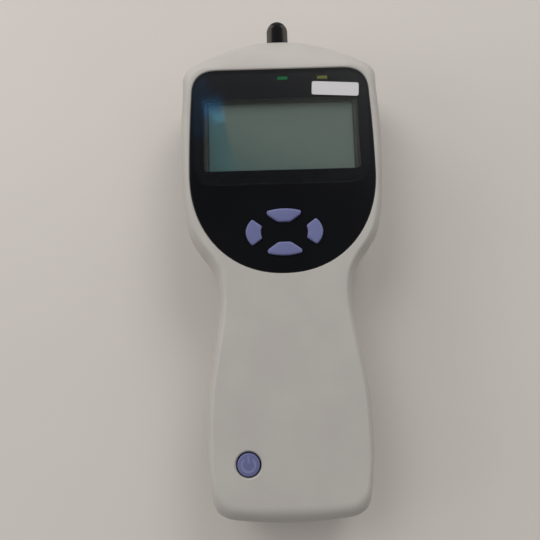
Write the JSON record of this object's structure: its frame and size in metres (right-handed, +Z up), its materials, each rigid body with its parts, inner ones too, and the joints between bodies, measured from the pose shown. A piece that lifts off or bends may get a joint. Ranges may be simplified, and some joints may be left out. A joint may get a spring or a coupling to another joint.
{
  "type": "tympanometer",
  "caption": "Hand-held tympanometer: a waisted grip case with a dark display panel, an oval of direction keys, a power key and a probe with a removable nose cone.",
  "frame": {"origin": "middle of the bounding box, on the surface the instrument lies on with its display up", "axes": "+Y from the grip end to the probe, +X to the right seen from above the display, +Z up out of the display"},
  "size_m": [0.08, 0.1992, 0.04],
  "materials": {
    "case_plastic": "warm grey-white moulded ABS, fine satin texture",
    "steel": "plain bright steel",
    "panel_gloss": "black back-printed clear sheet, glossy",
    "clear_lens": "clear glossy plastic",
    "label_paper": "blank white sticker, satin",
    "dark_plastic": "dark grey moulded plastic",
    "lcd_face": "grey-green liquid crystal face, unlit",
    "white_plastic": "white moulded plastic",
    "board": "green circuit board with solder mask",
    "green_lens": "green translucent light window, unlit",
    "yellow_lens": "yellow translucent light window, unlit",
    "key_plastic": "lilac moulded key, satin",
    "power_plastic": "dull lilac moulded key, satin",
    "rubber": "dark silicone",
    "chip": "black epoxy package",
    "cell_wrap": "plain printed sleeve of a dry cell",
    "brass": "plain brass",
    "tube": "clear soft air tube",
    "nose_plastic": "black moulded nose cone, satin gloss"
  },
  "bodies": {
    "housing": {"front_case": "case_plastic", "rear_case": "case_plastic", "housing_screw_1": "steel", "housing_screw_2": "steel", "housing_screw_3": "steel", "housing_screw_4": "steel", "display_panel": "panel_gloss", "display_window": "clear_lens", "screen_film": "clear_lens", "film_label": "label_paper", "lcd_frame": "dark_plastic", "lcd_glass": "lcd_face", "lcd_backlight": "white_plastic", "display_board": "board", "green_led": "white_plastic", "yellow_led": "white_plastic", "green_indicator": "green_lens", "yellow_indicator": "yellow_lens", "keypad_mat": "rubber", "power_switch": "dark_plastic", "main_board": "board", "processor_chip": "chip", "board_connector": "dark_plastic", "battery_1": "cell_wrap", "battery_2": "cell_wrap", "battery_3": "cell_wrap", "battery_4": "cell_wrap", "contact_bridge": "steel", "plus_contact": "steel", "minus_contact": "steel", "pump_motor": "steel", "pump_head": "dark_plastic", "bleed_valve": "brass", "pressure_sensor": "white_plastic", "pump_tube": "tube", "sensor_tube": "tube", "valve_tube": "tube", "probe_holder": "dark_plastic", "probe_speaker": "steel", "probe_microphone": "brass", "probe_spigot": "white_plastic", "probe_seal": "rubber"},
    "up_key_body": {"up_key": "key_plastic"},
    "down_key_body": {"down_key": "key_plastic"},
    "left_key_body": {"left_key": "key_plastic"},
    "right_key_body": {"right_key": "key_plastic"},
    "power_key_body": {"power_key": "power_plastic"},
    "cover_body": {"battery_cover": "case_plastic"},
    "nose_body": {"nose_cone": "nose_plastic"}
  },
  "joints": [
    {"name": "up_key_press", "type": "slide", "parent": "housing", "child": "up_key_body", "axis": [0, 0, -1], "range_m": [0, 0.0008], "stiffness_N_per_m": 1500},
    {"name": "down_key_press", "type": "slide", "parent": "housing", "child": "down_key_body", "axis": [0, 0, -1], "range_m": [0, 0.0008], "stiffness_N_per_m": 1500},
    {"name": "left_key_press", "type": "slide", "parent": "housing", "child": "left_key_body", "axis": [0, 0, -1], "range_m": [0, 0.0008], "stiffness_N_per_m": 1500},
    {"name": "right_key_press", "type": "slide", "parent": "housing", "child": "right_key_body", "axis": [0, 0, -1], "range_m": [0, 0.0008], "stiffness_N_per_m": 1500},
    {"name": "power_key_press", "type": "slide", "parent": "housing", "child": "power_key_body", "axis": [0, 0, -1], "range_m": [0, 0.001], "stiffness_N_per_m": 1500},
    {"name": "battery_cover_slide", "type": "slide", "parent": "housing", "child": "cover_body", "axis": [0, -1, 0], "range_m": [0, 0.115]},
    {"name": "nose_cone_pull", "type": "slide", "parent": "housing", "child": "nose_body", "axis": [0, 1, 0], "range_m": [0, 0.02]}
  ]
}
